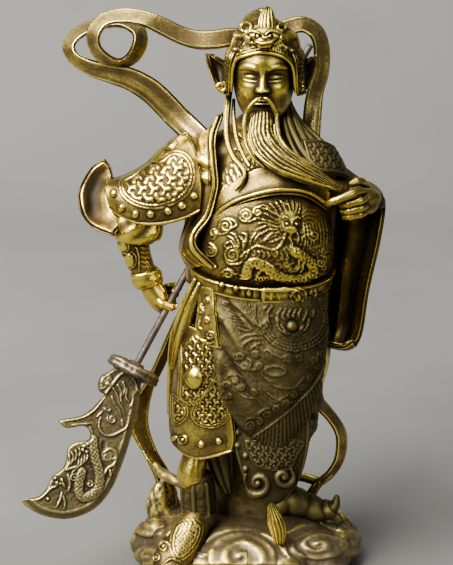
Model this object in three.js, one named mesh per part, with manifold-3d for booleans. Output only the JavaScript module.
// A cast brass statue of a bearded warrior in armour and robe, standing on a cloud base with a
// long-handled broad blade in one hand. Millimetres, +Z up, -Y is the front.
// The origin is the centre of the base's flat underside.
import * as THREE from "three";
import Module from "manifold-3d";

// Driving dimensions, in millimetres.
const statueHeight = 330; // underside of the base to the tip of the hat's tuft
const baseWidth = 134;
const baseDepth = 112;
const baseHeight = 33;
const clothThickness = 2.2;
const ribbonThickness = 2;
const ribbonWidth = 10;
const beltHeight = 9;
const rivetDiameter = 3;
const shaftDiameter = 4;
const shaftClearance = 0.3; // all round, in the fist and in the blade's socket
const socketDepth = 6;
const guardDiameter = 33;
const guardThickness = 6.6;
const guardSeat = 5.6; // from the top of the blade's axis down to the guard's middle
const bladeThickness = 4;
const edgeThickness = 2.2; // along the cutting edge
const edgeWidth = 4;
const facetTolerance = 0.48; // how far a facet may move when small ones are merged

// The figure is drawn in thousandths of the statue's height. Its feet stand at standLevel.
const share = statueHeight / 1000;
const standLevel = 100;
const at = (x, y, z) => new THREE.Vector3(x * share, y * share, baseHeight + (z - standLevel) * share);

const xAxis = new THREE.Vector3(1, 0, 0);
const zAxis = new THREE.Vector3(0, 0, 1);
const fullTurn = 2 * Math.PI;

const wasm = await Module();
wasm.setup();
const { Manifold, Mesh } = wasm;

// A closed solid from points and triangles, turned so that its faces point out.
function closedSolid(points, triangles) {
  let volume = 0;
  for (const [a, b, c] of triangles) {
    volume += points[a].dot(new THREE.Vector3().crossVectors(points[b], points[c]));
  }
  const facingOut = volume > 0 ? triangles : triangles.map(([a, b, c]) => [a, c, b]);
  return new Manifold(
    new Mesh({
      numProp: 3,
      vertProperties: new Float32Array(points.flatMap((p) => p.toArray())),
      triVerts: new Uint32Array(facingOut.flat()),
    }),
  );
}

// Rings of equally many points joined into a tube with a closed cap at each end.
function solidFromRings(rings) {
  const sides = rings[0].length;
  const points = rings.flat();
  const triangles = [];
  for (let i = 0; i < rings.length - 1; i++) {
    for (let j = 0; j < sides; j++) {
      const a = i * sides + j;
      const b = i * sides + ((j + 1) % sides);
      triangles.push([a, b, b + sides], [a, b + sides, a + sides]);
    }
  }
  const middle = (ring) => ring.reduce((sum, p) => sum.add(p), new THREE.Vector3()).divideScalar(sides);
  const first = points.length;
  const last = first + 1;
  const start = points.length - sides;
  points.push(middle(rings[0]), middle(rings[rings.length - 1]));
  for (let j = 0; j < sides; j++) {
    const next = (j + 1) % sides;
    triangles.push([first, next, j], [last, start + j, start + next]);
  }
  return closedSolid(points, triangles);
}

// The row of numbers at share t along a list of rows, on a Catmull-Rom curve.
function between(rows, t) {
  const spans = rows.length - 1;
  const place = Math.min(Math.max(t, 0), 1) * spans;
  const i = Math.min(Math.floor(place), spans - 1);
  const f = place - i;
  const [p1, p2] = [rows[i], rows[i + 1]];
  const p0 = i > 0 ? rows[i - 1] : p1.map((v, k) => 2 * v - p2[k]);
  const p3 = i + 2 <= spans ? rows[i + 2] : p2.map((v, k) => 2 * v - p1[k]);
  return p1.map((v, k) => {
    const slope1 = (p2[k] - p0[k]) / 2;
    const slope2 = (p3[k] - v) / 2;
    const h = p2[k] - v;
    return v + f * (slope1 + f * (3 * h - 2 * slope1 - slope2 + f * (slope1 + slope2 - 2 * h)));
  });
}

// A limb or a trunk: oval sections along stations of [x, y, z, half width, half depth].
// across is the way the half width lies, and ripple(angle, along) swells a section by that share.
function loft(
  stations,
  { sides = 8, rows = Math.round(1.4 * stations.length), across = xAxis, ripple = () => 0 } = {},
) {
  const step = 0.01;
  const rings = [];
  for (let i = 0; i <= rows; i++) {
    const t = i / rows;
    const [x, y, z, halfWidth, halfDepth] = between(stations, t);
    const [behind, ahead] = [between(stations, t - step), between(stations, t + step)];
    const tangent = at(ahead[0], ahead[1], ahead[2]).sub(at(behind[0], behind[1], behind[2])).normalize();
    const wide = across.clone().addScaledVector(tangent, -across.dot(tangent)).normalize();
    const deep = new THREE.Vector3().crossVectors(tangent, wide);
    const ring = [];
    for (let j = 0; j < sides; j++) {
      const angle = (fullTurn * j) / sides;
      const swell = share * (1 + ripple(angle, t));
      ring.push(
        at(x, y, z)
          .addScaledVector(wide, Math.max(halfWidth, 0.5) * swell * Math.cos(angle))
          .addScaledVector(deep, Math.max(halfDepth, 0.5) * swell * Math.sin(angle)),
      );
    }
    rings.push(ring);
  }
  return solidFromRings(rings);
}

// A surface through a net of points: rows run from top to bottom and columns from the viewer's left.
const netSurface = (net) => (u, v) => at(...between(net.map((row) => between(row, v)), u));

// The outward direction of a surface at (u, v).
function facing(surface, u, v) {
  const step = 0.01;
  const [u0, u1] = [Math.max(u - step, 0), Math.min(u + step, 1)];
  const [v0, v1] = [Math.max(v - step, 0), Math.min(v + step, 1)];
  const down = surface(u1, v).sub(surface(u0, v));
  const sideways = surface(u, v1).sub(surface(u, v0));
  return down.cross(sideways).normalize();
}

const lifted = (surface, u, v, height) => surface(u, v).addScaledVector(facing(surface, u, v), height);

// A plate or cloth of even thickness behind a surface, raised by relief(u, v) millimetres in front.
function sheet(surface, { rows = 8, columns = 6, thickness = clothThickness, relief = () => 0 } = {}) {
  const front = [];
  const back = [];
  for (let i = 0; i <= rows; i++) {
    for (let j = 0; j <= columns; j++) {
      const [u, v] = [i / rows, j / columns];
      front.push(lifted(surface, u, v, thickness / 2 + relief(u, v)));
      back.push(lifted(surface, u, v, -thickness / 2));
    }
  }
  const width = columns + 1;
  const behind = front.length;
  const triangles = [];
  for (let i = 0; i < rows; i++) {
    for (let j = 0; j < columns; j++) {
      const a = i * width + j;
      const [b, c, d] = [a + 1, a + width, a + width + 1];
      triangles.push([a, c, d], [a, d, b]);
      triangles.push([behind + a, behind + d, behind + c], [behind + a, behind + b, behind + d]);
    }
  }
  const rim = [];
  for (let j = 0; j < columns; j++) rim.push(j);
  for (let i = 0; i < rows; i++) rim.push(i * width + columns);
  for (let j = columns; j > 0; j--) rim.push(rows * width + j);
  for (let i = rows; i > 0; i--) rim.push(i * width);
  rim.forEach((a, k) => {
    const b = rim[(k + 1) % rim.length];
    triangles.push([a, b, behind + b], [a, behind + b, behind + a]);
  });
  return closedSolid([...front, ...back], triangles);
}

// A round cord through points, thinning to endShare of its radius at both ends.
function cord(points, radius, { sides = 4, steps = 2 * points.length, endShare = 0.4 } = {}) {
  const rows = points.map((p) => p.toArray());
  const rings = [];
  let wide = null;
  for (let i = 0; i <= steps; i++) {
    const t = i / steps;
    const centre = new THREE.Vector3(...between(rows, t));
    const behind = new THREE.Vector3(...between(rows, t - 0.01));
    const tangent = new THREE.Vector3(...between(rows, t + 0.01)).sub(behind).normalize();
    const guide = wide || (Math.abs(tangent.z) < 0.8 ? zAxis : xAxis);
    wide = guide.clone().addScaledVector(tangent, -guide.dot(tangent)).normalize();
    const deep = new THREE.Vector3().crossVectors(tangent, wide);
    const thick = radius * (endShare + (1 - endShare) * Math.sin(Math.PI * t) ** 0.6);
    rings.push(
      Array.from({ length: sides }, (_, j) => {
        const angle = (fullTurn * j) / sides;
        return centre
          .clone()
          .addScaledVector(wide, thick * Math.cos(angle))
          .addScaledVector(deep, thick * Math.sin(angle));
      }),
    );
  }
  return solidFromRings(rings);
}

// Cords, spirals and studs laid on a surface, for carving that stands proud of it.
const cordOn = (surface, path, radius, options) =>
  cord(path.map(([u, v]) => lifted(surface, u, v, clothThickness / 2)), radius, options);

function spiralOn(surface, [u, v], [uSize, vSize], turns, radius, startAngle = 0) {
  const steps = Math.round(6 * turns);
  const path = Array.from({ length: steps + 1 }, (_, i) => {
    const angle = startAngle + (fullTurn * turns * i) / steps;
    const reach = 0.15 + (0.85 * i) / steps;
    return [u + uSize * reach * Math.sin(angle), v + vSize * reach * Math.cos(angle)];
  });
  return cordOn(surface, path, radius, { steps, sides: 3 });
}

function ball(centre, radius, [sx, sy, sz] = [1, 1, 1]) {
  const shape = new THREE.IcosahedronGeometry(radius).scale(sx, sy, sz);
  shape.translate(centre.x, centre.y, centre.z);
  return solidFromGeometry(shape);
}

// A low stud or scale: a flat four-sided dome whose middle stands out along the given way.
function stud(centre, diameter = rivetDiameter, out = new THREE.Vector3(0, -1, 0)) {
  const shape = new THREE.OctahedronGeometry(diameter * 0.6).scale(1, 0.55, 1);
  shape.applyQuaternion(new THREE.Quaternion().setFromUnitVectors(new THREE.Vector3(0, 1, 0), out));
  shape.translate(centre.x, centre.y, centre.z);
  return solidFromGeometry(shape);
}

const studOn = (surface, u, v, diameter) =>
  stud(lifted(surface, u, v, clothThickness / 2), diameter, facing(surface, u, v));

// A three.js geometry as a solid, its shared corners merged.
function solidFromGeometry(geometry) {
  const place = geometry.getAttribute("position");
  const order = geometry.index ? [...geometry.index.array] : Array.from({ length: place.count }, (_, i) => i);
  const found = new Map();
  const points = [];
  const corner = order.map((i) => {
    const p = new THREE.Vector3().fromBufferAttribute(place, i);
    const key = p.toArray().map((value) => value.toFixed(4)).join();
    if (!found.has(key)) {
      found.set(key, points.length);
      points.push(p);
    }
    return found.get(key);
  });
  const triangles = [];
  for (let i = 0; i < corner.length; i += 3) {
    const [a, b, c] = corner.slice(i, i + 3);
    if (a !== b && b !== c && c !== a) triangles.push([a, b, c]);
  }
  return closedSolid(points, triangles);
}

// The base: a mound of cloud with lobes round its edge and spiral scrolls.
function cloudBase() {
  const levels = [
    [0, 0.95],
    [0.3, 1],
    [0.66, 0.93],
    [0.86, 0.78],
    [1, 0.5],
  ];
  const sides = 25;
  const lobes = 5;
  const rings = levels.map(([level, reach]) =>
    Array.from({ length: sides }, (_, j) => {
      const angle = (fullTurn * j) / sides;
      const lobe = 0.93 + 0.07 * Math.abs(Math.cos(lobes * angle));
      return new THREE.Vector3(
        (baseWidth / 2) * reach * lobe * Math.cos(angle),
        (baseDepth / 2) * reach * lobe * Math.sin(angle),
        baseHeight * level,
      );
    }),
  );
  return solidFromRings(rings);
}

// The base's shoulder as a surface for its scrolls: v runs round the front, u from the top down.
const baseShoulder = (u, v) => {
  const angle = Math.PI * (1 + v);
  const reach = 0.62 + 0.36 * Math.sin((u * Math.PI) / 2);
  return new THREE.Vector3(
    (baseWidth / 2) * reach * Math.cos(angle),
    (baseDepth / 2) * reach * Math.sin(angle),
    baseHeight * (0.96 - 0.8 * u * u),
  );
};

function cloudScrolls() {
  const scrolls = [
    [0.5, 0.5, 0.42, 0.13, 1.8, 0],
    [0.45, 0.77, 0.34, 0.11, 1.7, 2],
    [0.5, 0.17, 0.38, 0.1, 1.5, 1],
    [0.4, 0.94, 0.3, 0.08, 1.3, 3],
  ];
  return scrolls.map(([u, v, uSize, vSize, turns, start]) =>
    spiralOn(baseShoulder, [u, v], [uSize, vSize], turns, 2.3, start),
  );
}

// The trunk's sections, shared by the body and by the plates that lie on it.
const trunkStations = [
  [18, 0, 440, 104, 84],
  [24, -12, 520, 103, 88],
  [27, -26, 590, 114, 98],
  [28, -26, 650, 110, 94],
  [28, -14, 706, 100, 88],
  [28, 4, 760, 92, 60],
  [28, 10, 795, 64, 46],
  [30, 4, 822, 36, 36],
  [32, -2, 850, 34, 36],
];

// The trunk's surface at an angle from the front, positive to the viewer's right, lifted off it.
function onTrunk(angle, z, lift = 0) {
  const last = trunkStations.length - 2;
  const row = trunkStations.findIndex((_, i) => i === last || z < trunkStations[i + 1][2]);
  const [low, high] = [trunkStations[row][2], trunkStations[row + 1][2]];
  const t = (row + (z - low) / (high - low)) / (last + 1);
  const [x, y, , halfWidth, halfDepth] = between(trunkStations, t);
  return at(x + (halfWidth + lift) * Math.sin(angle), y - (halfDepth + lift) * Math.cos(angle), z);
}

// The belly plate: from its arched upper rim down to the belt.
const plateReach = 1.35;
const bellyPlate = (u, v) => {
  const angle = plateReach * (2 * v - 1);
  const rim = 602 + 88 * Math.cos(0.82 * angle - 0.1) ** 1.2;
  return onTrunk(angle, rim + (548 - rim) * u, 3);
};

// The smooth yoke that arches over the plate.
const yoke = netSurface([
  [
    [-74, -58, 656], [-45, -78, 702], [-14, -88, 732], [19, -94, 750], [58, -94, 755], [97, -82, 740],
    [135, -60, 700],
  ],
  [
    [-72, -60, 647], [-45, -86, 684], [-14, -99, 710], [20, -105, 726], [58, -105, 731],
    [96, -93, 719], [134, -63, 686],
  ],
  [
    [-69, -62, 638], [-43, -92, 671], [-14, -108, 693], [22, -116, 706], [59, -116, 711],
    [96, -103, 703], [132, -68, 674],
  ],
]);

function breastAndBelly() {
  const dragonBody = [
    [0.3, 0.42], [0.42, 0.3], [0.6, 0.26], [0.78, 0.36], [0.84, 0.52],
    [0.74, 0.68], [0.56, 0.78], [0.4, 0.72], [0.34, 0.62],
  ];
  const rim = Array.from({ length: 9 }, (_, i) => [0, i / 8]);
  const claws = [[0.68, 0.6], [0.78, 0.28]];
  return [
    loft(trunkStations, { sides: 14, rows: 9 }),
    sheet(bellyPlate, { rows: 3, columns: 7 }),
    cordOn(bellyPlate, rim, 1.5, { steps: 7, sides: 3, endShare: 0.8 }),
    cordOn(bellyPlate, dragonBody, 2.5, { steps: 11 }),
    ball(lifted(bellyPlate, 0.28, 0.58, 1.5), 6, [1.1, 0.7, 1]),
    ...claws.map(([u, v]) => cordOn(bellyPlate, [[u - 0.06, v - 0.06], [u, v], [u + 0.1, v + 0.02]], 1.2,
      { steps: 3, sides: 3 })),
    ...[[0.26, 0.2], [0.32, 0.88]].map((place) =>
      spiralOn(bellyPlate, place, [0.13, 0.07], 1, 1.1),
    ),
    sheet(yoke, { rows: 2, columns: 6, thickness: 1.5 * clothThickness }),
  ];
}

// The belt dips in front, by a cosine of the angle.
const beltLevel = (angle) => 553 - 13 * Math.cos(angle - 0.45);

function belt() {
  const halfHeight = beltHeight / 2 / share;
  const onBelt = (angle, up = 0, out = 0) =>
    onTrunk(angle, beltLevel(angle) + up, 13 + 4 * Math.cos(angle) + out);
  const sides = 14;
  const band = solidFromRings(
    [-1, 1].map((side) =>
      Array.from({ length: sides }, (_, j) => onBelt((fullTurn * j) / sides, side * halfHeight)),
    ),
  );
  const buckle = (u, v) => onBelt(0.1 + 0.5 * v, 1.2 * halfHeight * (1 - 2 * u), 2);
  return [
    band,
    ...[-0.75, -0.5, -0.25].map((angle) => stud(onBelt(angle), 1.3 * rivetDiameter)),
    sheet(buckle, { rows: 1, columns: 3 }),
    ball(onBelt(0.46, 0, 4), 3.4, [1, 0.6, 1]),
  ];
}

// The robe below the belt, whose folds deepen towards its hem behind the legs.
function skirt() {
  return [
    loft(
      [
        [24, -8, 556, 102, 86],
        [18, 2, 500, 118, 92],
        [12, 8, 450, 134, 94],
        [9, 14, 400, 138, 92],
        [4, 20, 350, 132, 86],
        [0, 30, 300, 122, 74],
        [-2, 42, 250, 108, 58],
        [0, 50, 200, 88, 46],
        [0, 55, 150, 76, 38],
        [0, 58, 90, 72, 34],
      ],
      { sides: 20, rows: 7, ripple: (angle, t) => 0.07 * t * Math.sin(5 * angle) },
    ),
    // The trunk of cloud between the boots, which carries the robe.
    loft(
      [
        [4, 14, 76, 98, 62], [0, 16, 104, 66, 50], [-8, 20, 140, 52, 46], [-14, 24, 180, 50, 44],
        [-16, 30, 230, 56, 40],
      ],
      { sides: 7, rows: 4 },
    ),
    // Folds that fall from the belt on the viewer's left.
    ...[
      [
        [-84, -62, 552, 8, 8], [-104, -58, 500, 12, 10], [-120, -40, 440, 14, 12],
        [-128, -20, 370, 12, 12], [-134, 10, 288, 8, 12],
      ],
      [[-78, -72, 548, 6, 8], [-98, -72, 500, 9, 9], [-114, -60, 440, 11, 10], [-124, -46, 390, 9, 9]],
    ].map((stations) => loft(stations, { sides: 6, rows: 5 })),
  ];
}

// The front apron with its fringed lower edge, and the cloth corner beside it.
const apron = netSurface([
  [[-66, -78, 549], [-25, -104, 547], [15, -114, 538], [61, -114, 533], [97, -98, 533], [126, -70, 534]],
  [[-60, -92, 504], [-23, -116, 499], [15, -126, 489], [61, -126, 482], [101, -108, 486], [131, -76, 488]],
  [[-59, -104, 455], [-22, -124, 447], [17, -134, 436], [60, -134, 431], [101, -114, 440], [132, -82, 449]],
  [[-54, -112, 408], [-18, -128, 395], [18, -137, 381], [59, -136, 377], [96, -118, 392], [127, -88, 407]],
  [[-40, -114, 358], [-10, -127, 345], [22, -134, 333], [56, -134, 330], [89, -120, 342], [119, -94, 365]],
  [[-16, -114, 317], [2, -122, 303], [26, -128, 293], [53, -128, 289], [79, -118, 304], [105, -100, 326]],
  [[14, -112, 285], [23, -117, 280], [35, -121, 274], [50, -122, 271], [66, -116, 274], [87, -104, 289]],
]);
const coatCorner = netSurface([
  [[-80, -70, 544], [-68, -84, 546], [-56, -94, 548]],
  [[-84, -84, 502], [-70, -96, 504], [-54, -106, 506]],
  [[-87, -90, 471], [-70, -102, 473], [-50, -112, 473]],
  [[-72, -100, 448], [-60, -107, 446], [-46, -116, 446]],
]);

function frontCloths() {
  const pearlPlace = [0.22, 0.63];
  const dragonCoil = [[0.12, 0.28], [0.24, 0.36], [0.33, 0.46], [0.38, 0.62], [0.34, 0.78], [0.24, 0.88],
    [0.1, 0.9]];
  const fringe = [[0.37, 0.97], [0.52, 0.93], [0.66, 0.8], [0.76, 0.6], [0.83, 0.4], [0.88, 0.15]];
  const roll = [[0.4, 0.03], [0.55, 0.03], [0.72, 0.04], [0.9, 0.08]];
  return [
    sheet(apron, { rows: 6, columns: 6 }),
    sheet(coatCorner, { rows: 3, columns: 2 }),
    cordOn(apron, dragonCoil, 1.6, { steps: 8, sides: 3 }),
    ball(lifted(apron, ...pearlPlace, 1), 3, [1, 0.6, 1]),
    cordOn(apron, fringe, 1.1, { steps: 7, sides: 3, endShare: 0.8 }),
    cordOn(apron, roll, 1.6, { steps: 4, endShare: 0.8 }),
    spiralOn(apron, [0.52, 0.27], [0.05, 0.08], 1.1, 1),
    spiralOn(apron, [0.5, 0.62], [0.04, 0.07], 1.1, 1),
  ];
}

// The armoured flap over the thigh on the viewer's left.
const thighGuard = netSurface([
  [[-108, 10, 480], [-106, -50, 476], [-86, -86, 474], [-50, -104, 470]],
  [[-122, 6, 400], [-118, -60, 398], [-92, -98, 394], [-34, -116, 396]],
  [[-130, 6, 330], [-125, -62, 326], [-94, -104, 322], [-26, -120, 330]],
  [[-134, 4, 290], [-128, -64, 282], [-92, -108, 278], [-22, -120, 290]],
  [[-130, 0, 262], [-122, -62, 252], [-84, -102, 243], [-26, -116, 262]],
]);

function thighArmour() {
  const scaleRows = 4;
  const scales = [];
  for (let i = 0; i < scaleRows; i++) {
    for (let j = 0; j < 3; j++) {
      const [u, v] = [0.24 + (0.6 * i) / scaleRows, 0.36 + 0.2 * j + (i % 2) * 0.1];
      if (Math.hypot((u - 0.36) / 0.1, (v - 0.62) / 0.1) > 1) scales.push([u, v]);
    }
  }
  return [
    sheet(thighGuard, { rows: 4, columns: 4, thickness: 1.4 * clothThickness }),
    ...scales.map(([u, v]) => studOn(thighGuard, u, v, 6.4)),
    ...[0.3, 0.48, 0.66, 0.84].map((v) => studOn(thighGuard, 0.92, v)),
    ball(lifted(thighGuard, 0.36, 0.62, 1), 5, [0.85, 0.6, 1.15]),
    cordOn(thighGuard, [[0.5, 0.5], [0.7, 0.5], [0.81, 0.6], [0.82, 0.72], [0.78, 0.86], [0.6, 0.94]], 0.9,
      { steps: 7, sides: 3, endShare: 0.8 }),
  ];
}

// The hanging flap between the legs, with its two spirals and its tassel.
const middleFlap = netSurface([
  [[-32, -104, 330], [14, -118, 330], [60, -122, 326], [104, -102, 322]],
  [[-22, -114, 272], [16, -124, 270], [58, -126, 268], [104, -110, 276]],
  [[-8, -118, 222], [20, -126, 218], [54, -127, 218], [94, -114, 226]],
  [[4, -118, 190], [24, -124, 180], [48, -124, 180], [80, -114, 196]],
  [[26, -116, 168], [32, -119, 163], [42, -119, 163], [54, -115, 170]],
]);

function flapWithTassel() {
  const studs = [[0.26, 0.06], [0.42, 0.07], [0.58, 0.08], [0.4, 0.94]];
  return [
    sheet(middleFlap, { rows: 5, columns: 4 }),
    ...studs.map(([u, v]) => studOn(middleFlap, u, v)),
    spiralOn(middleFlap, [0.68, 0.3], [0.12, 0.22], 1.4, 1.4),
    spiralOn(middleFlap, [0.66, 0.72], [0.1, 0.18], 1.4, 1.3, 3),
    loft(
      [
        [40, -119, 172, 6, 6], [42, -121, 158, 7, 7], [48, -123, 138, 13, 11], [54, -124, 118, 13, 11],
        [56, -122, 96, 8, 8],
      ],
      { sides: 8, rows: 5, ripple: (angle) => 0.1 * Math.cos(4 * angle) },
    ),
    // A scalloped side flap on the viewer's right.
    loft(
      [
        [112, -60, 400, 16, 30], [114, -56, 350, 18, 34], [108, -52, 300, 16, 36],
        [98, -50, 262, 12, 34], [84, -48, 240, 6, 26],
      ],
      { sides: 7, rows: 8, ripple: (angle, t) => 0.12 * Math.sin(8 * Math.PI * t) },
    ),
  ];
}

// Legs and boots: one foot steps forward and down, the other points to the viewer's right.
function legs() {
  return [
    loft(
      [
        [-74, -20, 330, 40, 46], [-84, -44, 280, 30, 38], [-90, -56, 246, 19, 24],
        [-93, -60, 222, 22, 27], [-97, -62, 202, 25, 31], [-97, -62, 191, 25, 32],
        [-94, -62, 186, 20, 26],
      ],
      { rows: 7 },
    ),
    loft(
      [
        [-88, -60, 196, 24, 27], [-88, -60, 176, 25, 28], [-87, -60, 146, 24, 27],
        [-86, -60, 142, 27, 31], [-86, -60, 127, 28, 32], [-87, -62, 122, 24, 27],
      ],
      { rows: 5 },
    ),
    // The cloth that hangs behind the shin.
    loft(
      [
        [-60, -30, 330, 32, 24], [-56, -40, 270, 26, 16], [-48, -44, 220, 21, 12],
        [-40, -46, 180, 13, 9], [-34, -46, 158, 6, 6],
      ],
      { rows: 4 },
    ),
    // The forward boot.
    loft(
      [
        [-80, -38, 110, 22, 18], [-85, -56, 116, 27, 32], [-94, -80, 107, 30, 32],
        [-111, -108, 89, 32, 25], [-129, -132, 74, 32, 19], [-143, -150, 64, 25, 13],
        [-150, -160, 62, 11, 7],
      ],
      { rows: 7 },
    ),
    loft(
      [
        [64, 0, 300, 42, 44], [62, 0, 200, 30, 32], [64, -4, 150, 27, 29], [66, -6, 110, 30, 30],
      ],
      { rows: 4 },
    ),
    // The other boot, with its turned-up toe.
    loft(
      [
        [46, -4, 112, 22, 14], [66, -8, 120, 28, 22], [92, -14, 122, 27, 24], [118, -20, 114, 26, 20],
        [142, -26, 112, 22, 16], [158, -30, 124, 14, 10], [162, -31, 140, 6, 5],
      ],
      { rows: 7, across: new THREE.Vector3(0, 1, 0) },
    ),
  ];
}

// The robe over the shoulders, and its open front edge on the viewer's left.
const lapel = netSurface([
  [[-96, 12, 778], [-82, -2, 786], [-66, -14, 798], [-42, -24, 828]],
  [[-104, -14, 758], [-92, -28, 764], [-72, -44, 776], [-55, -54, 792]],
  [[-104, -30, 734], [-91, -46, 742], [-70, -60, 748], [-54, -70, 754]],
  [[-98, -34, 700], [-84, -50, 706], [-67, -66, 712], [-51, -80, 718]],
  [[-100, -34, 666], [-88, -52, 672], [-73, -68, 678], [-58, -86, 684]],
  [[-104, -28, 636], [-94, -48, 645], [-82, -66, 651], [-66, -90, 662]],
  [[-112, -14, 604], [-106, -40, 614], [-98, -62, 624], [-85, -92, 638]],
  [[-108, -14, 582], [-106, -42, 592], [-99, -64, 602], [-86, -98, 616]],
  [[-94, -20, 558], [-88, -46, 570], [-74, -74, 582], [-52, -106, 584]],
]);

function shoulders() {
  return [
    loft(
      [
        [-112, 0, 752, 36, 40], [-60, 4, 766, 44, 54], [30, 8, 768, 44, 60], [100, 4, 748, 40, 54],
        [142, 0, 728, 34, 44], [166, -6, 712, 16, 24],
      ],
      { sides: 8, rows: 6, across: zAxis },
    ),
    // The side of the robe behind the open edge.
    loft(
      [
        [-78, 8, 786, 24, 40], [-84, 10, 700, 22, 46], [-82, 8, 630, 22, 50], [-78, 2, 570, 26, 54],
        [-80, -2, 536, 26, 54],
      ],
      { rows: 5 },
    ),
    sheet(lapel, { rows: 8, columns: 2, thickness: 1.3 * clothThickness }),
    // Locks over the shoulder on the viewer's right.
    ...[
      [
        [66, 0, 850, 8, 8], [78, -14, 818, 9, 8], [92, -32, 792, 9, 8], [112, -50, 774, 9, 8],
        [134, -62, 756, 8, 7], [158, -68, 734, 5, 5],
      ],
      [
        [62, -16, 838, 7, 7], [72, -42, 804, 8, 8], [88, -64, 778, 8, 8], [110, -80, 756, 7, 7],
        [129, -90, 738, 5, 5],
      ],
    ].map((stations) => loft(stations, { sides: 5, rows: 5 })),
    // The strap that hangs from the hat over the chest.
    loft(
      [
        [-30, -6, 866, 6, 6], [-36, -44, 815, 7, 6], [-34, -62, 786, 7, 6], [-25, -80, 764, 7, 6],
        [-6, -103, 740, 6, 5], [-12, -108, 726, 5, 4],
      ],
      { sides: 5, rows: 6 },
    ),
  ];
}

// The arm on the viewer's left: shoulder guard, flaring sleeve, bracer and fist.
const sleeveFlare = netSurface([
  [[-231, 12, 714], [-234, 6, 699], [-235, 0, 683], [-232, -10, 667], [-222, -22, 654], [-209, -32, 646]],
  [[-237, 26, 727], [-252, 20, 709], [-264, 12, 682], [-261, -2, 658], [-246, -22, 642], [-221, -40, 633]],
  [[-246, 28, 740], [-269, 22, 724], [-288, 8, 687], [-282, -12, 655], [-259, -32, 634], [-227, -48, 625]],
]);
const shoulderGuard = netSurface([
  [[-248, 30, 690], [-222, 52, 700], [-188, 62, 712], [-150, 66, 728], [-116, 64, 742], [-84, 56, 752]],
  [[-243, 14, 704], [-220, 24, 707], [-189, 30, 720], [-158, 32, 741], [-130, 32, 767], [-104, 30, 786]],
  [[-241, -10, 707], [-217, -12, 709], [-185, -14, 723], [-152, -16, 744], [-123, -18, 768], [-98, -16, 783]],
  [[-240, -24, 704], [-214, -38, 704], [-179, -46, 714], [-144, -52, 732], [-113, -54, 751], [-89, -48, 765]],
  [[-238, -33, 697], [-213, -50, 692], [-179, -62, 696], [-142, -70, 709], [-106, -72, 722], [-82, -66, 736]],
  [[-235, -38, 684], [-211, -54, 673], [-179, -67, 668], [-142, -75, 675], [-105, -77, 687], [-80, -73, 701]],
  [[-229, -36, 672], [-207, -50, 658], [-178, -62, 649], [-144, -70, 650], [-108, -73, 660], [-80, -72, 672]],
]);

function nearArm() {
  const scales = [];
  for (let i = 0; i < 3; i++) {
    for (let j = 0; j < 4; j++) scales.push([0.46 + 0.11 * i, 0.28 + 0.14 * j + (i % 2) * 0.06]);
  }
  const rivets = [[0.8, 0.05], [0.88, 0.16], [0.92, 0.31], [0.93, 0.46], [0.91, 0.61], [0.88, 0.76],
    [0.8, 0.9]];
  return [
    loft(
      [
        [-74, -2, 738, 50, 44], [-112, 0, 726, 54, 50], [-150, 0, 706, 44, 46],
        [-190, -6, 694, 30, 38], [-216, -12, 692, 16, 24], [-230, -14, 694, 5, 8],
      ],
      { rows: 5, across: zAxis },
    ),
    sheet(shoulderGuard, { rows: 6, columns: 5, thickness: 1.5 * clothThickness }),
    ...scales.map(([u, v]) => studOn(shoulderGuard, u, v, 5.6)),
    ...rivets.map(([u, v]) => studOn(shoulderGuard, u, v)),
    ball(at(-104, -14, 784), 6.6, [1.2, 0.9, 0.8]),
    sheet(sleeveFlare, { rows: 2, columns: 6, thickness: 1.2 * clothThickness }),
    loft(
      [
        [-150, 4, 672, 40, 42], [-182, -4, 656, 40, 38], [-196, -10, 632, 32, 31],
        [-196, -16, 612, 27, 26], [-188, -16, 580, 23, 23], [-176, -14, 548, 20, 19],
      ],
      { rows: 6 },
    ),
    // The gathered cuff of the sleeve, and the bracer's lower rim.
    loft(
      [
        [-170, 0, 664, 34, 34], [-182, -10, 650, 38, 37], [-187, -14, 632, 42, 40],
        [-191, -16, 618, 40, 38], [-192, -16, 608, 32, 30],
      ],
      { rows: 4 },
    ),
    loft(
      [
        [-178, -14, 556, 22, 21], [-176, -14, 548, 26, 24], [-170, -13, 534, 25, 23],
        [-168, -13, 528, 20, 19],
      ],
      { rows: 3 },
    ),
    ball(at(-208, -38, 590), 3.4, [1, 0.6, 1.2]),
    // The fist: the back of the hand, the thumb and four fingers round the shaft.
    loft(
      [
        [-170, -14, 534, 18, 17], [-160, -16, 516, 20, 18], [-150, -14, 500, 19, 19],
        [-141, -10, 486, 14, 15],
      ],
      { sides: 8, rows: 4 },
    ),
    cord([at(-158, -26, 510), at(-146, -32, 500), at(-132, -30, 494), at(-124, -24, 496)], 2.3,
      { sides: 5, steps: 4, endShare: 0.7 }),
    ...[0, 1, 2, 3].map((finger) => {
      const [x, z] = [-136 - 5 * finger, 518 - 11 * finger];
      return cord([at(x - 8, 14, z), at(x + 8, 12, z + 3), at(x + 16, -4, z + 3), at(x + 8, -18, z)], 2,
        { steps: 4, endShare: 0.7 });
    }),
  ];
}

// The arm on the viewer's right: a hand at the beard, and the long sleeve that hangs from it.
const hangingSleeve = netSurface([
  [[118, 24, 752], [158, 24, 748], [198, 4, 734], [210, -52, 722]],
  [[116, 36, 700], [172, 36, 700], [220, 8, 702], [229, -56, 694]],
  [[112, 40, 616], [168, 42, 616], [212, 8, 616], [223, -50, 616]],
  [[114, 38, 525], [158, 40, 525], [196, 12, 525], [207, -38, 525]],
  [[118, 30, 456], [152, 32, 450], [186, 10, 450], [199, -28, 450]],
  [[120, 0, 430], [148, -2, 418], [174, -14, 416], [190, -26, 424]],
  [[122, -14, 432], [146, -24, 424], [168, -34, 424], [182, -36, 434]],
]);

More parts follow.
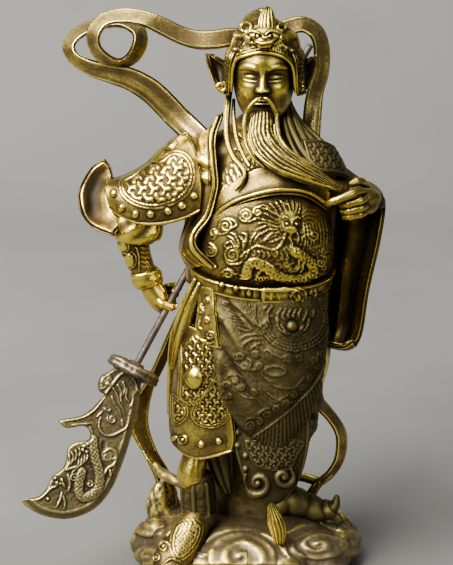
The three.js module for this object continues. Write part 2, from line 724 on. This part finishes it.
function farArm() {
  const fingers = [
    [[198, -84, 708], [178, -112, 713], [154, -124, 706], [134, -120, 697]],
    [[201, -84, 698], [184, -111, 698], [164, -114, 693], [152, -106, 688]],
    [[202, -84, 687], [185, -107, 685], [166, -108, 680], [154, -100, 677]],
    [[200, -82, 676], [184, -101, 673], [168, -101, 669], [158, -94, 666]],
  ];
  return [
    sheet(hangingSleeve, { rows: 7, columns: 4, thickness: 1.3 * clothThickness }),
    loft(
      [
        [118, 8, 748, 40, 44], [150, 6, 722, 40, 42], [184, 0, 700, 34, 38], [206, -20, 694, 27, 30],
        [212, -50, 694, 20, 22], [210, -68, 695, 16, 19],
      ],
      { across: zAxis, sides: 8, rows: 6 },
    ),
    loft(
      [
        [206, -58, 693, 17, 18], [204, -75, 693, 20, 17], [198, -91, 693, 21, 12],
        [190, -101, 693, 16, 8],
      ],
      { across: zAxis, sides: 8, rows: 4 },
    ),
    ...fingers.map((points) => cord(points.map((p) => at(...p)), 2, { steps: 4, endShare: 0.7 })),
    cord([at(196, -78, 716), at(182, -96, 727), at(167, -106, 724)], 2.1, { steps: 4, endShare: 0.7 }),
    // The inner edge of the sleeve, close to the trunk.
    loft(
      [
        [150, -40, 690, 12, 10], [144, -34, 620, 12, 9], [138, -26, 540, 11, 9],
        [136, -18, 460, 10, 9],
      ],
      { sides: 6, rows: 4 },
    ),
  ];
}

// Head, hat and beard, about the face's middle line.
const headX = 27;

const headTurn = Math.PI / 45;
const headWay = new THREE.Vector3(Math.cos(headTurn), -Math.sin(headTurn), 0);

// A station of the head: steps to its side and to its front from the middle, turned with it.
const headAt = (side, forward, z, ...sizes) => [
  headX + side * Math.cos(headTurn) - forward * Math.sin(headTurn),
  -10 - side * Math.sin(headTurn) - forward * Math.cos(headTurn),
  z,
  ...sizes,
];
const headPoint = (side, forward, z) => at(...headAt(side, forward, z));

function head() {
  const eyes = [-1, 1].map((side) => ball(headPoint(20.5 * side, 54, 893), 2.8, [1.25, 0.8, 0.6]));
  const brows = [-1, 1].map((side) =>
    cord([headPoint(8 * side, 63, 903), headPoint(22 * side, 60, 909), headPoint(38 * side, 46, 905)], 1.4,
      { steps: 4 }),
  );
  return [
    loft(
      [
        headAt(0, 30, 814, 18, 20), headAt(0, 24, 829, 34, 35), headAt(0, 16, 850, 45, 47),
        headAt(0, 8, 882, 52, 56), headAt(0, 2, 925, 54, 60), headAt(0, -6, 955, 42, 46),
      ],
      { sides: 12, rows: 6, across: headWay },
    ),
    ...eyes,
    ...brows,
    loft([headAt(0, 60, 906, 5, 5), headAt(0, 66, 889, 5, 7), headAt(0, 74, 874, 9, 9),
      headAt(0, 68, 868, 8, 5)], { sides: 6, rows: 4 }),
    loft([headAt(-15, 58, 853, 3, 3), headAt(-5, 65, 854, 4, 5), headAt(5, 65, 854, 4, 5),
      headAt(15, 58, 853, 3, 3)], {
      sides: 5,
      rows: 3,
      across: zAxis,
    }),
  ];
}

function hat() {
  const cheekFlap = [
    [[40, 40, 940], [50, 28, 942], [55, 8, 942], [55, -18, 942]],
    [[46, 43, 922], [57, 30, 924], [61, 10, 924], [61, -16, 924]],
    [[50, 40, 902], [60, 28, 902], [64, 10, 902], [64, -12, 902]],
    [[51, 38, 880], [60, 28, 879], [64, 10, 878], [63, -4, 880]],
    [[53, 33, 863], [59, 28, 859], [64, 14, 859], [64, 5, 865]],
    [[56, 27, 855], [58, 23, 853], [60, 16, 853], [60, 10, 857]],
  ];
  const leftWing = [
    [[-66, 2, 872], [-70, 4, 869], [-74, 2, 871]],
    [[-65, -4, 884], [-74, 4, 881], [-83, 0, 887]],
    [[-66, -6, 896], [-78, 4, 896], [-89, 0, 902]],
    [[-70, -6, 907], [-83, 2, 908], [-93, 0, 913]],
    [[-88, -2, 915], [-92, 0, 918], [-95, 0, 920]],
  ];
  const rightWing = [
    [[62, 2, 872], [67, 4, 868], [70, 0, 874]],
    [[62, -6, 888], [70, 2, 884], [76, -4, 890]],
    [[63, -8, 900], [72, 0, 899], [79, -8, 904]],
    [[68, -8, 908], [75, -3, 909], [80, -9, 913]],
    [[77, -8, 915], [80, -8, 917], [82, -10, 918]],
  ];
  const onHead = (rows, side = 1) => netSurface(rows.map((row) =>
    row.map(([across, ...rest]) => headAt(side * across, ...rest))));
  const rim = [[-50, 42, 904], [-44, 49, 920], [-28, 59, 928], [0, 65, 934], [28, 59, 928], [44, 49, 916],
    [50, 42, 900]];
  return [
    loft(
      [
        headAt(0, 4, 892, 57, 57), headAt(0, 4, 914, 60, 60), headAt(0, 4, 936, 60, 61),
        headAt(-3, 2, 949, 53, 56), headAt(-5, -2, 960, 46, 51), headAt(-6, -5, 971, 38, 44),
        headAt(-6, -7, 982, 28, 33), headAt(-5, -8, 991, 16, 19),
      ],
      { sides: 11, rows: 6, across: headWay },
    ),
    cord(rim.map((place) => headPoint(...place)), 1.6, { steps: 7, sides: 3, endShare: 0.9 }),
    ...[-1, 1].map((side) => sheet(onHead(cheekFlap, side), { rows: 4, columns: 2 })),
    ...[leftWing, rightWing].map((wing) => sheet(onHead(wing), { rows: 4, columns: 1 })),
    // The beads at the wings' feet, and the beast's mask over the brow.
    ...[-1, 1].map((side) => ball(headPoint(70 * side, 30, 874), 3.6)),
    ball(headPoint(2, 55, 959), 8.6, [1.2, 0.7, 0.65]),
    ball(headPoint(3, 68, 953), 4.6, [1.1, 0.9, 0.6]),
    ...[-30, 32].map((side) => ball(headPoint(side, 48, 966), 3.4, [1, 0.7, 1])),
    // The tuft.
    loft(
      [
        [29, -56, 958, 13, 13], [29, -56, 967, 14.5, 13], [29.5, -53, 978, 14.5, 13],
        [30, -48, 989, 11.5, 10], [31, -43, 996, 8, 7], [31, -40, 1000, 3, 3],
      ],
      { rows: 5, ripple: (angle) => 0.08 * Math.cos(4 * angle) },
    ),
  ];
}

function beard() {
  const strands = (angle, t) => 0.08 * Math.cos(7 * angle) * Math.min(1, 6 * t);
  const moustache = [
    [
      [21, -83, 862], [12, -84, 858], [3, -82, 848], [-4, -81, 834], [-7, -85, 814], [-4, -93, 789],
      [7, -104, 768], [26, -113, 752],
    ],
    [
      [25, -83, 862], [32, -84, 858], [39, -82, 848], [45, -81, 834], [47, -85, 814], [52, -93, 796],
      [66, -105, 780], [103, -117, 756],
    ],
  ];
  return [
    loft(
      [
        [21, -68, 832, 19, 14], [21, -76, 818, 22, 16], [22, -85, 800, 24, 17], [33, -95, 781, 26, 17],
        [54, -107, 763, 24, 15], [85, -116, 747, 18, 13], [119, -121, 732, 12, 10], [150, -120, 719, 6, 6],
      ],
      { sides: 14, rows: 7, ripple: strands },
    ),
    ...moustache.map((places) => cord(places.map((place) => at(...place)), 1.5, { steps: 8, endShare: 0.5 })),
  ];
}

// A ribbon: a band along stations of [x, y, z, sideways x, y, z], its width along the sideways way.
function ribbon(stations, { rows = 3 * stations.length, widen = () => 1 } = {}) {
  const edge = (side) => (t) => {
    const [x, y, z, sx, sy, sz] = between(stations, t);
    const sideways = new THREE.Vector3(sx, sy, sz).normalize();
    return at(x, y, z).addScaledVector(sideways, (side * ribbonWidth * widen(t)) / 2);
  };
  const [left, right] = [edge(-1), edge(1)];
  return sheet((u, v) => left(u).lerp(right(u), v), { rows, columns: 1, thickness: ribbonThickness });
}

function ribbons() {
  // From the hat to the left, round a ring, out into a loop and back down to the shoulder.
  const overHead = [
    [4, 22, 948, 0.1, 0.5, 1], [-28, 16, 950, -0.2, 0.5, 1], [-56, 7, 947, -0.1, 0.5, 1],
    [-84, 3, 947, 0, 0.5, 1], [-112, 0, 955, 0.2, 0.6, 1], [-140, -4, 969, 0.4, 0.7, 0.9],
    [-170, -7, 982, 0.2, 0.8, 0.8], [-206, -8, 987, 0, 0.8, 0.8], [-236, -8, 981, -0.4, 0.9, 0.6],
    [-254, -10, 962, -0.8, 0.8, 0.3], [-255, -10, 938, -0.8, 0.8, -0.2],
    [-240, -6, 918, -0.5, 0.8, -0.6], [-216, 2, 908, 0, 0.9, -0.6], [-194, 20, 916, 0.6, 0.8, -0.5],
    [-182, 36, 940, 0.8, 0.7, 0], [-188, 48, 962, 0.5, 0.8, 0.5], [-216, 54, 974, 0.1, 0.9, 0.6],
    [-252, 50, 970, -0.2, 0.9, 0.6], [-284, 42, 956, -0.5, 0.9, 0.4], [-302, 34, 936, -0.8, 0.8, 0],
    [-294, 24, 916, -0.6, 0.7, -0.5], [-266, 14, 900, -0.2, 0.5, -0.9], [-232, 8, 891, -0.2, 0.2, -1],
    [-198, 9, 881, -0.3, 0, -1], [-166, 14, 862, -0.5, 0, -0.9], [-141, 18, 838, -0.7, 0, -0.7],
    [-120, 16, 816, -0.7, 0, -0.7], [-99, 8, 797, -0.7, 0, -0.7], [-80, -4, 780, -0.7, 0, -0.7],
  ];
  const besideHead = [
    [42, 12, 956, -0.1, 0.5, 1], [68, 20, 966, 0, 0.6, 1], [94, 28, 970, 0.3, 0.7, 0.8],
    [116, 34, 956, 0.8, 0.7, 0.5], [125, 36, 928, 1, 0.6, 0.1], [124, 36, 890, 1, 0.5, -0.1],
    [114, 34, 850, 1, 0.3, 0.2], [110, 28, 812, 1, 0.2, 0.1], [106, 12, 780, 1, 0, 0],
  ];
  const lowerNear = [
    [-112, 14, 470, 0.8, 0.5, 0.3], [-128, 26, 432, 0.9, 0.5, 0.3], [-146, 34, 390, 0.9, 0.5, 0.4],
    [-164, 40, 350, 0.9, 0.5, 0.4], [-182, 44, 314, 0.9, 0.4, 0.3], [-193, 46, 276, 1, 0.4, 0],
    [-194, 46, 240, 1, 0.4, -0.1], [-181, 44, 205, 0.9, 0.3, -0.4], [-162, 38, 172, 0.9, 0.2, -0.4],
    [-148, 32, 140, 1, 0.2, -0.3], [-141, 28, 110, 1, 0, 0], [-139, 26, 84, 1, 0, 0],
  ];
  const lowerFar = [
    [108, 16, 330, 0.6, 0.7, 0.7], [130, 22, 300, 0.6, 0.7, 0.7], [154, 28, 270, 0.7, 0.8, 0.4],
    [171, 32, 240, 0.9, 0.7, 0.2], [174, 34, 210, 1, 0.6, 0], [169, 34, 182, 0.9, 0.6, -0.3],
    [154, 36, 156, 0.7, 0.6, -0.6], [132, 40, 134, 0.6, 0.6, -0.7], [112, 44, 96, 0.8, 0.4, -0.4],
  ];
  return [
    ribbon(overHead, { rows: 36, widen: (t) => 1 + 0.3 * Math.min(Math.max((t - 0.74) / 0.1, 0), 1) }),
    ribbon(besideHead, { rows: 12 }),
    ribbon(lowerNear, { rows: 12, widen: () => 0.85 }),
    ribbon(lowerFar, { rows: 12, widen: () => 0.75 }),
    // The small bridges that tie the ribbons to the leg and to the robe.
    loft(
      [
        [-172, 44, 172, 6, 6], [-150, 6, 170, 7, 7], [-104, -44, 168, 6, 6],
      ],
      { sides: 5, rows: 3, across: zAxis },
    ),
    loft(
      [
        [136, 40, 138, 9, 7], [104, 46, 146, 9, 7], [62, 50, 150, 9, 7],
      ],
      { sides: 5, rows: 3, across: zAxis },
    ),
  ];
}

// The shaft's line runs from the guard through the fist and up behind the shoulder.
const guardCentre = at(-188, -60, 405);
const shaftTop = at(112, 140, 926);
const shaftWay = shaftTop.clone().sub(guardCentre).normalize();
const bladeWide = new THREE.Vector3(shaftWay.z, 0, -shaftWay.x).normalize(); // to the cutting edge
const bladeFace = new THREE.Vector3().crossVectors(bladeWide, shaftWay); // towards the viewer

// A round bar from a to b.
function roundBar(a, b, radius, sides = 16) {
  const bar = new THREE.CylinderGeometry(radius, radius, a.distanceTo(b), sides);
  const way = b.clone().sub(a).normalize();
  bar.applyQuaternion(new THREE.Quaternion().setFromUnitVectors(new THREE.Vector3(0, 1, 0), way));
  const middle = a.clone().lerp(b, 0.5);
  bar.translate(middle.x, middle.y, middle.z);
  return solidFromGeometry(bar);
}

const alongShaft = (distance) => guardCentre.clone().addScaledVector(shaftWay, distance);
const guardTop = guardThickness / 2 - guardSeat;
const socketEnd = alongShaft(guardTop - socketDepth);

// The blade's outline, in millimetres: across, towards the cutting edge, and down from the guard.
const bladeOutline = [
  [-7, 4], [-9, 7.5], [-12, 12], [-15, 17], [-14, 22], [-11.5, 25], [-8.5, 26], [-9, 31], [-11, 37],
  [-14.5, 42.5], [-23, 49.5], [-22.5, 51.5], [-17.5, 52], [-9.5, 47], [-5, 48.5], [-4, 52.5],
  [-9.5, 56.5], [-11.5, 61.5], [-9.5, 68], [-12, 80], [-11.5, 87.5], [-14, 93.5], [-20.5, 99],
  [-14, 101.5], [-5, 101], [6, 97.5], [14.5, 89.5], [19.5, 81], [21, 70], [20.5, 59], [18.5, 47],
  [16, 35.5], [13, 24], [10, 16], [7, 8], [8, 4],
];

function halberdHead() {
  const placed = new THREE.Matrix4().makeBasis(bladeWide, shaftWay, bladeFace.clone().negate());
  placed.setPosition(guardCentre);
  const slab = (outline, thickness) => {
    const shape = new THREE.Shape(outline.map(([across, down]) => new THREE.Vector2(across, -down)));
    const settings = { depth: thickness, bevelEnabled: false, curveSegments: 1 };
    const flat = new THREE.ExtrudeGeometry(shape, settings);
    flat.translate(0, 0, -thickness / 2);
    return solidFromGeometry(flat.applyMatrix4(placed));
  };
  const setIn = bladeOutline.map(([across, down]) =>
    across > 5 || down > 90 ? [across - edgeWidth, down - edgeWidth / 2] : [across, down],
  );
  const onBlade = ([across, down]) =>
    guardCentre
      .clone()
      .addScaledVector(bladeWide, across)
      .addScaledVector(shaftWay, -down)
      .addScaledVector(bladeFace, bladeThickness / 2);
  const dragon = [[0, 14], [3, 26], [4, 38], [0, 50], [3, 62], [9, 72], [6, 84], [-4, 86], [-6, 78]];
  const mirrored = (point) => point.addScaledVector(bladeFace, -bladeThickness);
  const head = Manifold.union([
    slab(bladeOutline, edgeThickness),
    slab(setIn, bladeThickness),
    roundBar(alongShaft(guardTop - guardThickness), alongShaft(guardTop), guardDiameter / 2, 16),
    roundBar(alongShaft(guardTop - 1), alongShaft(guardTop + 1.4), shaftDiameter / 2 + 2.4, 10),
    cord(dragon.map(onBlade), 2, { steps: 9, sides: 3 }),
    cord(dragon.map(onBlade).map(mirrored), 2, { steps: 9, sides: 3 }),
  ]);
  const bore = roundBar(socketEnd, alongShaft(20), shaftDiameter / 2 + shaftClearance);
  return head.asOriginal().simplify(facetTolerance / 2).subtract(bore);
}

function shaft() {
  const lowEnd = socketEnd.clone().addScaledVector(shaftWay, shaftClearance);
  return roundBar(lowEnd, shaftTop, shaftDiameter / 2, 12);
}

function statue() {
  const whole = Manifold.union([
    cloudBase(),
    ...cloudScrolls(),
    ...breastAndBelly(),
    ...belt(),
    ...skirt(),
    ...frontCloths(),
    ...thighArmour(),
    ...flapWithTassel(),
    ...legs(),
    ...shoulders(),
    ...nearArm(),
    ...farArm(),
    ...head(),
    ...hat(),
    ...beard(),
    ...ribbons(),
  ]);
  const pastTop = shaftTop.clone().addScaledVector(shaftWay, 10);
  const shaftRoom = roundBar(alongShaft(4), pastTop, shaftDiameter / 2 + shaftClearance);
  const reach = 4 * baseWidth;
  const belowGround = new THREE.BoxGeometry(reach, reach, reach).translate(0, 0, -reach / 2);
  const merged = whole.asOriginal().simplify(facetTolerance);
  const pieces = merged.subtract(shaftRoom).subtract(solidFromGeometry(belowGround)).decompose();
  return pieces.reduce((most, piece) => (piece.volume() > most.volume() ? piece : most));
}

function meshOf(name, solid, material) {
  const { numProp, vertProperties, triVerts } = solid.getMesh();
  const places = new Float32Array((vertProperties.length / numProp) * 3);
  for (let i = 0; i < places.length / 3; i++) {
    places.set(vertProperties.subarray(i * numProp, i * numProp + 3), i * 3);
  }
  const geometry = new THREE.BufferGeometry();
  geometry.setAttribute("position", new THREE.BufferAttribute(places, 3));
  geometry.setIndex(new THREE.BufferAttribute(triVerts, 1));
  geometry.computeVertexNormals();
  const mesh = new THREE.Mesh(geometry, material);
  mesh.name = name;
  return mesh;
}

const brass = new THREE.MeshStandardMaterial({ color: 0xb8923f, metalness: 1, roughness: 0.38 });
const darkBronze = new THREE.MeshStandardMaterial({ color: 0x7d6c48, metalness: 1, roughness: 0.48 });
const darkSteel = new THREE.MeshStandardMaterial({ color: 0x4b423a, metalness: 0.8, roughness: 0.5 });

const part = new THREE.Group();
part.add(
  meshOf("statue", statue(), brass),
  meshOf("halberd_blade", halberdHead(), darkBronze),
  meshOf("halberd_shaft", shaft(), darkSteel),
);

export default part;
